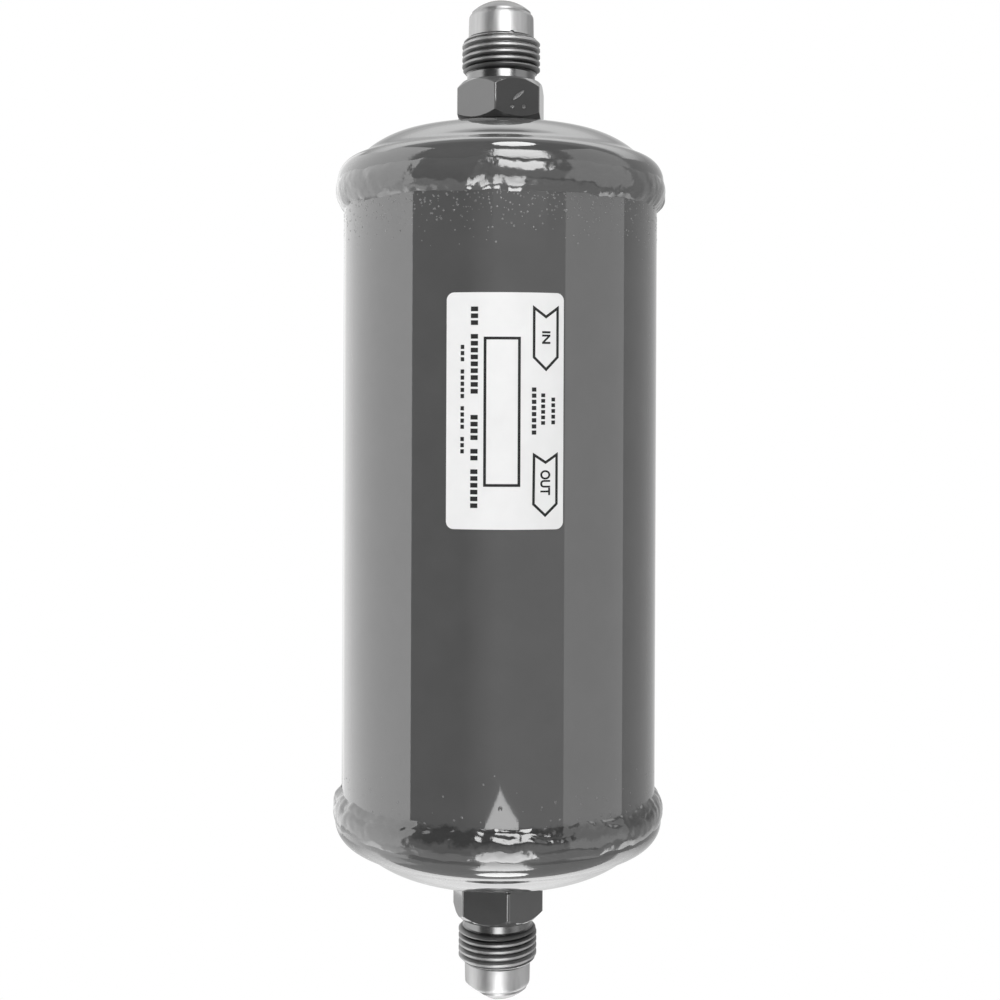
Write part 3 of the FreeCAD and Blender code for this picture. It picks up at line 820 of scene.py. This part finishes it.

# %% [markdown]
# ** Plated steel.** The neck, thread and nose are turned steel with a thin zinc plating, a grey metal. The
# thread's grooves carry painted shade, darkening with depth below the crests and most of all next to the
# hexagon, and the neck is coloured a darker grey. The cutting tool left fine rings. Real rings are a tenth of
# a millimetre apart, too fine to show at this distance, so they are drawn at a third of a millimetre.

# %% Plated steel
plated, tree, shader, point = finish("zinc_plated_steel", Metallic=1.0)
stain = add_node(tree, "TexNoise", {"Vector": point, "Scale": 1000 / 3, "Detail": 5})
tone = add_node(tree, "Mix", {0: stain, 6: linear("#727272"), 7: linear("#8c8c8c")}, data_type="RGBA")
place = add_node(tree, "SeparateXYZ", {"Vector": point})
level = add_node(tree, "CombineXYZ", {"X": place.outputs["X"], "Y": place.outputs["Y"]})
radius = add_node(tree, "VectorMath", {0: level}, operation="LENGTH")
# Painted shade: the thread's colour darkens below the crests and most of all next to the hexagon.
depth = add_node(tree, "MapRange", {
    "Value": radius, "From Min": 8.7 * MM, "From Max": 9.35 * MM, "To Min": 1.0, "To Max": 0.35})
from_middle = add_node(tree, "Math", {0: place.outputs["Z"]}, operation="ABSOLUTE")
toward_nose = add_node(tree, "MapRange", {
    "Value": from_middle, "From Min": (THREAD_Z + 2) * MM, "From Max": NOSE_Z * MM,
    "To Min": 0.95, "To Max": 0.05})
thread_painted_shade = add_node(tree, "Math", {0: depth, 1: toward_nose}, operation="MULTIPLY")
thread_tone_with_shade = add_node(tree, "Mix", {0: thread_painted_shade, 6: tone, 7: linear("#1c1c1c")}, data_type="RGBA")
# The neck is coloured a darker grey and finished smoother.
on_neck = add_node(tree, "Math", {0: from_middle, 1: (THREAD_Z + 0.02) * MM}, operation="LESS_THAN")
add_node(tree, "Mix", {0: on_neck, 6: thread_tone_with_shade, 7: linear("#5a5a5a")}, data_type="RGBA",
         into=shader.inputs["Base Color"])
wear = add_node(tree, "MapRange", {"Value": stain, "To Min": 0.44, "To Max": 0.54})
add_node(tree, "Math", {0: on_neck, 1: -0.24, 2: wear}, operation="MULTIPLY_ADD",
         into=shader.inputs["Roughness"])
WAVES_PER_UNIT = 20
rings = add_node(tree, "TexWave", {
    "Vector": point, "Scale": 1000 / 0.33 / WAVES_PER_UNIT, "Distortion": 1.5, "Detail": 2},
    bands_direction="Z").outputs["Fac"]
add_node(tree, "Bump", {"Height": rings, "Distance": 0.006 * MM, "Strength": 0.6},
         into=shader.inputs["Normal"])
print("plated steel:", len(plated.node_tree.nodes), "nodes")

# %% [markdown]
# ** Drawn tinned thimble.** Thin sheet pulled through a die shines in soft upright streaks, so its noise is
# stretched along the axis, with small handling marks over it. The crown's colour darkens towards the top, a
# painted dark reflection.

# %% Thimble metal
tinned, tree, shader, point = finish("drawn_tinned_sheet", Metallic=1.0)
upright = add_node(tree, "Mapping", {"Vector": point, "Scale": (1, 1, 0.12)})
streaks = add_node(tree, "TexNoise", {"Vector": upright, "Scale": 1000 / 0.9, "Detail": 3})
tone = add_node(tree, "Mix", {0: streaks, 6: linear("#707070"), 7: linear("#868686")}, data_type="RGBA")
place = add_node(tree, "SeparateXYZ", {"Vector": point})
from_middle = add_node(tree, "Math", {0: place.outputs["Z"]}, operation="ABSOLUTE")
# Painted dark reflection: the crown's colour darkens towards the top.
painted_dark_crown = add_node(tree, "MapRange", {
    "Value": from_middle, "From Min": (THIMBLE_SHOULDER_Z - 0.6) * MM, "From Max": THIMBLE_TOP_Z * MM})
add_node(tree, "Mix", {0: painted_dark_crown, 6: tone, 7: linear("#3a3a3a")}, data_type="RGBA",
         into=shader.inputs["Base Color"])
add_node(tree, "MapRange", {"Value": streaks, "To Min": 0.36, "To Max": 0.5},
         into=shader.inputs["Roughness"])
marks = add_node(tree, "TexNoise", {"Vector": point, "Scale": 1000 / 2.2, "Detail": 3})
add_node(tree, "Bump", {"Height": marks, "Distance": 0.05 * MM, "Strength": 0.5},
         into=shader.inputs["Normal"])
print("thimble metal:", len(tinned.node_tree.nodes), "nodes")

# %% [markdown]
# **Label film and ink.** White vinyl film is satin, with a faint unevenness of its coating. Screen ink is a
# dense black that covers a little unevenly.

# %% Film and ink
film, tree, shader, point = finish("white_vinyl_film", Roughness=0.45, Specular_IOR_Level=0.3)
mottle = add_node(tree, "TexNoise", {"Vector": point, "Scale": 1000 / 6, "Detail": 5})
add_node(tree, "Mix", {0: mottle, 6: linear("#e3e3e3"), 7: linear("#ededed")}, data_type="RGBA",
         into=shader.inputs["Base Color"])
tooth = add_node(tree, "TexNoise", {"Vector": point, "Scale": 1000 / 0.5, "Detail": 2})
add_node(tree, "Bump", {"Height": tooth, "Distance": 0.004 * MM, "Strength": 0.4},
         into=shader.inputs["Normal"])

ink, tree, shader, point = finish("black_screen_ink", Roughness=0.5, Specular_IOR_Level=0.15)
cover = add_node(tree, "TexNoise", {"Vector": point, "Scale": 1000 / 0.8, "Detail": 3})
add_node(tree, "Mix", {0: cover, 6: linear("#101010"), 7: linear("#242424")}, data_type="RGBA",
         into=shader.inputs["Base Color"])
print("ink:", len(ink.node_tree.nodes), "nodes")

# %% [markdown]
# ** The filling.** No one sees the inside of a sound drier, but a cut-away would: plain galvanised plates,
# screens and spring, felt pads, and ivory beads of molecular sieve about 2.5 mm across, drawn with cells.
# Each cell darkens from its middle to its edge, painted shade round each bead and in the gaps between them.

# %% Finishes of the filling
galvanised, tree, shader, point = finish("galvanised_sheet", Metallic=1.0, Roughness=0.4)
spangle = add_node(tree, "TexVoronoi", {"Vector": point, "Scale": 1000 / 5})
add_node(tree, "Mix", {0: spangle.outputs["Color"], 6: linear("#a9abad"), 7: linear("#c6c8c9")},
         data_type="RGBA", into=shader.inputs["Base Color"])

felt, tree, shader, point = finish("needled_polyester_felt", Roughness=0.95, Sheen_Weight=0.3)
fibres = add_node(tree, "TexNoise", {
    "Vector": point, "Scale": 1000 / 0.8, "Detail": 8, "Distortion": 2})
add_node(tree, "Mix", {0: fibres, 6: linear("#d5d2c8"), 7: linear("#efece2")}, data_type="RGBA",
         into=shader.inputs["Base Color"])
add_node(tree, "Bump", {"Height": fibres, "Distance": 0.3 * MM, "Strength": 0.8},
         into=shader.inputs["Normal"])

beads, tree, shader, point = finish("molecular_sieve_beads", Roughness=0.85)
# Painted shade: the bead colour darkens from each cell's middle to its edge.
cells = add_node(tree, "TexVoronoi", {"Vector": point, "Scale": 1000 / 2.5})
add_node(tree, "Mix", {0: cells, 6: linear("#dccfb4"), 7: linear("#8f8064")}, data_type="RGBA",
         into=shader.inputs["Base Color"])
add_node(tree, "Bump", {"Height": cells, "Distance": -1.0 * MM, "Strength": 0.9},
         into=shader.inputs["Normal"])
print("beads:", len(beads.node_tree.nodes), "nodes")

# %% [markdown]
# ## Putting it together
# Each new piece gets its finish, rides on the body that carries it, and stands in for the plain CAD node. The
# thimbles ride on bodies of their own, because they pull off. The filling keeps its CAD solids and only gets
# finishes.

# %% Bodies and finishes
for piece, body, node, slot, material in (
    (tube, "drier", "shell", "enamel", enamel),
    (inlet_cap, "drier", "inlet_end_cap", "enamel", enamel),
    (outlet_cap, "drier", "outlet_end_cap", "enamel", enamel),
    (inlet_weld, "drier", "inlet_girth_weld", "enamel", enamel),
    (outlet_weld, "drier", "outlet_girth_weld", "enamel", enamel),
    (spatter, "drier", None, "enamel", spatter_enamel_painted_light),
    (pimple, "drier", None, "enamel", enamel),
    (inlet_braze, "drier", "inlet_braze_fillet", "enamel", enamel),
    (outlet_braze, "drier", "outlet_braze_fillet", "enamel", enamel),
    (inlet_hexagon, "drier", "inlet_flare_fitting", "enamel", enamel),
    (outlet_hexagon, "drier", "outlet_flare_fitting", "enamel", enamel),
    (inlet_thread, "drier", "inlet_flare_fitting", "fitting_steel", plated),
    (outlet_thread, "drier", "outlet_flare_fitting", "fitting_steel", plated),
    (knocks, "drier", None, "enamel", primer),
    (inlet_thimble, "inlet_cap", "inlet_sealing_cap", "sealing_cap_metal", tinned),
    (outlet_thimble, "outlet_cap", "outlet_sealing_cap", "sealing_cap_metal", tinned),
    (label, "drier", "label", "label_film", film),
    (label_print, "drier", None, "label_film", ink),
):
    piece.data.materials.clear()
    piece.data.materials.append(material)
    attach(piece, body)
    if node:
        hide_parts(node)
    print(piece.name, "rides on", body)

for name, material in {
    "spring": galvanised, "inlet_perforated_plate": galvanised, "outlet_support_cup": galvanised,
    "inlet_screen": galvanised, "outlet_screen": galvanised, "inlet_filter_pad": felt,
    "outlet_filter_pad": felt, "desiccant_bed": beads,
}.items():
    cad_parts[name].data.materials.clear()
    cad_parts[name].data.materials.append(material)

# %% [markdown]
# ## Light
# Gloss enamel shows the studio more than itself, so the studio is built as it stood: a soft box on each side,
# a light ceiling and table behind, one box high in front and one low with a gabled end, and a round dish
# over and one under the drier. Each is a plain panel that only reflections see, and its strength may run
# from one end to the other.

# %% Reflection panels
SQUARE = [(-0.5, -0.5), (0.5, -0.5), (0.5, 0.5), (-0.5, 0.5)]
ROUND = [(0.5 * math.cos(math.pi * k / 24), 0.5 * math.sin(math.pi * k / 24)) for k in range(48)]
GABLED = [(0.5, -0.5), (0.5, 0.5), (-0.42, 0.5), (-0.5, 0.05), (-0.42, -0.5)]


def panel(name, middle, size, facing, along, levels, outline=SQUARE):
    """A glowing panel that only reflections see. Levels are (share of its way along, strength)."""
    bpy.ops.object.select_all(action="DESELECT")
    bpy.ops.mesh.primitive_circle_add(vertices=len(outline), radius=1, fill_type="NGON")
    sheet = named(name)
    for vertex, (x, y) in zip(sheet.data.vertices, outline):
        vertex.co = (x, y, 0)
    facing, along = Vector(facing).normalized(), Vector(along)
    turn = Matrix((along, facing.cross(along), facing)).transposed().to_4x4()
    glow = bpy.data.materials.new(name + "_glow")
    glow.use_nodes = True
    glow.node_tree.nodes.clear()
    tree = glow.node_tree
    point = add_node(tree, "TexCoord").outputs["Object"]
    across = add_node(tree, "SeparateXYZ", {"Vector": point}).outputs["X"]
    share = add_node(tree, "MapRange", {"Value": across, "From Min": -0.5, "From Max": 0.5})
    fade = add_node(tree, "ValToRGB", {"Fac": share})
    peak = max(strength for _, strength in levels)
    while len(fade.color_ramp.elements) < len(levels):
        fade.color_ramp.elements.new(0.5)
    for element, (at, strength) in zip(fade.color_ramp.elements, levels):
        element.position = at
        element.color = (strength / peak,) * 3 + (1,)
    lamp = add_node(tree, "Emission", {"Color": fade, "Strength": peak})
    add_node(tree, "OutputMaterial", {"Surface": lamp})
    sheet.data.materials.append(glow)
    sheet.matrix_world = Matrix.Translation(middle) @ turn @ Matrix.Diagonal((size[0], size[1], 1, 1))
    sheet.visible_camera = sheet.visible_diffuse = sheet.visible_shadow = sheet.visible_transmission = False
    return sheet


RIGHT, LEFT, BACK, DOWN, UP = (1, 0, 0), (-1, 0, 0), (0, 1, 0), (0, 0, -1), (0, 0, 1)
studio = [
    panel("left_soft_box", (-0.9, 1.53, 0.3), (3.94, 2.2), RIGHT, BACK,
          ((0, 3.9), (0.1, 3.4), (0.2, 2.85), (0.3, 2.36), (0.5, 1.7), (1, 1.5))),
    panel("right_soft_box", (0.9, -0.365, -0.02), (0.99, 0.64), LEFT, BACK,
          ((0, 2.4), (0.6, 2.25), (1, 2.0))),
    panel("right_high_box", (0.9, -0.325, 0.79), (0.91, 0.98), LEFT, BACK, ((0, 2.2), (0.6, 2.1), (1, 2.0))),
    panel("right_low_box", (0.9, -0.555, -0.42), (0.61, 0.16), LEFT, BACK, ((0, 2.4), (1, 2.3))),
    panel("right_low_wall", (0.9, -0.06, -0.47), (0.38, 0.26), LEFT, BACK, ((0, 0.9), (1, 0.9))),
    panel("left_table_light", (-0.65, -0.06, -0.5), (0.5, 0.28), UP, RIGHT, ((0, 3), (1, 3))),
    panel("front_right_wall", (0.46, -1.2, -0.14), (1.94, 0.94), BACK, RIGHT,
          ((0, 0.25), (0.25, 1.0), (1, 1.1))),
    panel("back_ceiling", (0, 0.93, 1.0), (1.14, 3.0), DOWN, BACK,
          ((0, 2.0), (0.12, 3.6), (0.35, 2.6), (0.65, 1.3), (1, 0.8))),
    panel("back_table_light", (0, 0.54, -0.5), (0.92, 1.6), UP, BACK,
          ((0, 5.5), (0.14, 3.9), (0.4, 1.8), (0.6, 1.2), (1, 0.8))),
    panel("front_high_box", (0.095, -0.36, 0.245), (0.31, 0.25), BACK, UP,
          ((0, 1.0), (0.12, 1.4), (0.17, 14), (1, 16))),
    panel("overhead_dish", (0.08, -0.235, 0.8), (0.26, 0.37), DOWN, RIGHT, ((0, 16), (1, 16)), ROUND),
    panel("under_dish", (0.016, -0.15, -0.5), (0.18, 0.2), UP, RIGHT, ((0, 16), (1, 16)), ROUND),
    panel("front_low_box", (0.035, -0.575, -0.3785), (0.511, 0.31), (0, 0.475, 0.88), (0, 0.88, -0.475),
          ((0, 8.2), (0.3, 8.5), (0.6, 12), (1, 15)), GABLED),
]
print("panels:", [sheet.name for sheet in studio])

# %% [markdown]
# The level of plain light comes from the world and one soft key, and stays at one, so that a colour renders
# about as it is written. The camera sees a white room, and reflections see a dim room in front and a light
# one behind. The floor is a pale round table far below, which keeps the drier's shadow.

# %% World, key and floor
world = bpy.data.worlds.new("studio")
world.use_nodes = True
bpy.context.scene.world = world
tree = world.node_tree
tree.nodes.clear()
paths = add_node(tree, "LightPath")
direction = add_node(tree, "TexCoord").outputs["Generated"]
back = add_node(tree, "SeparateXYZ", {"Vector": direction}).outputs["Y"]
room = add_node(tree, "ValToRGB", {"Fac": back})
room.color_ramp.elements.new(0.2)
for element, (position, level) in zip(room.color_ramp.elements, ((0.0, 0.22), (0.2, 0.85), (0.8, 0.8))):
    element.position = position
    element.color = (level, level, level, 1)
seen = add_node(tree, "Math", {
    0: paths.outputs["Is Camera Ray"], 1: paths.outputs["Is Transmission Ray"]}, operation="MAXIMUM")
soft = add_node(tree, "Background", {"Color": (1, 1, 1, 1), "Strength": 0.74})
mirrored = add_node(tree, "Background", {"Color": room, "Strength": 1.0})
white = add_node(tree, "Background", {"Color": (1, 1, 1, 1), "Strength": 1.0})
lit = add_node(tree, "MixShader", {0: paths.outputs["Is Glossy Ray"], 1: soft, 2: mirrored})
shown = add_node(tree, "MixShader", {0: seen, 1: lit, 2: white})
add_node(tree, "OutputWorld", {"Surface": shown})

bpy.ops.object.light_add(type="AREA", location=(-0.9, -1.3, 1.3))
key = bpy.context.object
key.name = "soft_key"
key.data.shape = "DISK"
key.data.size = 1.2
key.data.energy = 16
key.rotation_euler = (-key.location).to_track_quat("-Z", "Y").to_euler()
key.visible_glossy = False
key.visible_camera = False

bpy.ops.object.select_all(action="DESELECT")
bpy.ops.mesh.primitive_circle_add(vertices=96, radius=0.9, fill_type="NGON", location=(0, 0, -0.55))
floor = named("floor")
pale, tree, shader, point = finish("pale_table_top", Roughness=0.8, Emission_Color=(1, 1, 1, 1))
wash = add_node(tree, "TexNoise", {"Vector": point, "Scale": 6, "Detail": 3})
add_node(tree, "Mix", {0: wash, 6: linear("#ededed"), 7: linear("#f4f4f4")}, data_type="RGBA",
         into=shader.inputs["Base Color"])
paths = add_node(tree, "LightPath").outputs
seen = add_node(tree, "Math", {
    0: paths["Is Camera Ray"], 1: paths["Is Glossy Ray"]}, operation="MAXIMUM")
seen = add_node(tree, "Math", {0: seen, 1: paths["Is Transmission Ray"]}, operation="MAXIMUM")
add_node(tree, "Math", {0: seen, 1: 0.4}, operation="MULTIPLY",
         into=shader.inputs["Emission Strength"])
floor.data.materials.append(pale)
print("key:", key.data.energy, "W, floor:", round(floor.dimensions.x, 2), "m across")
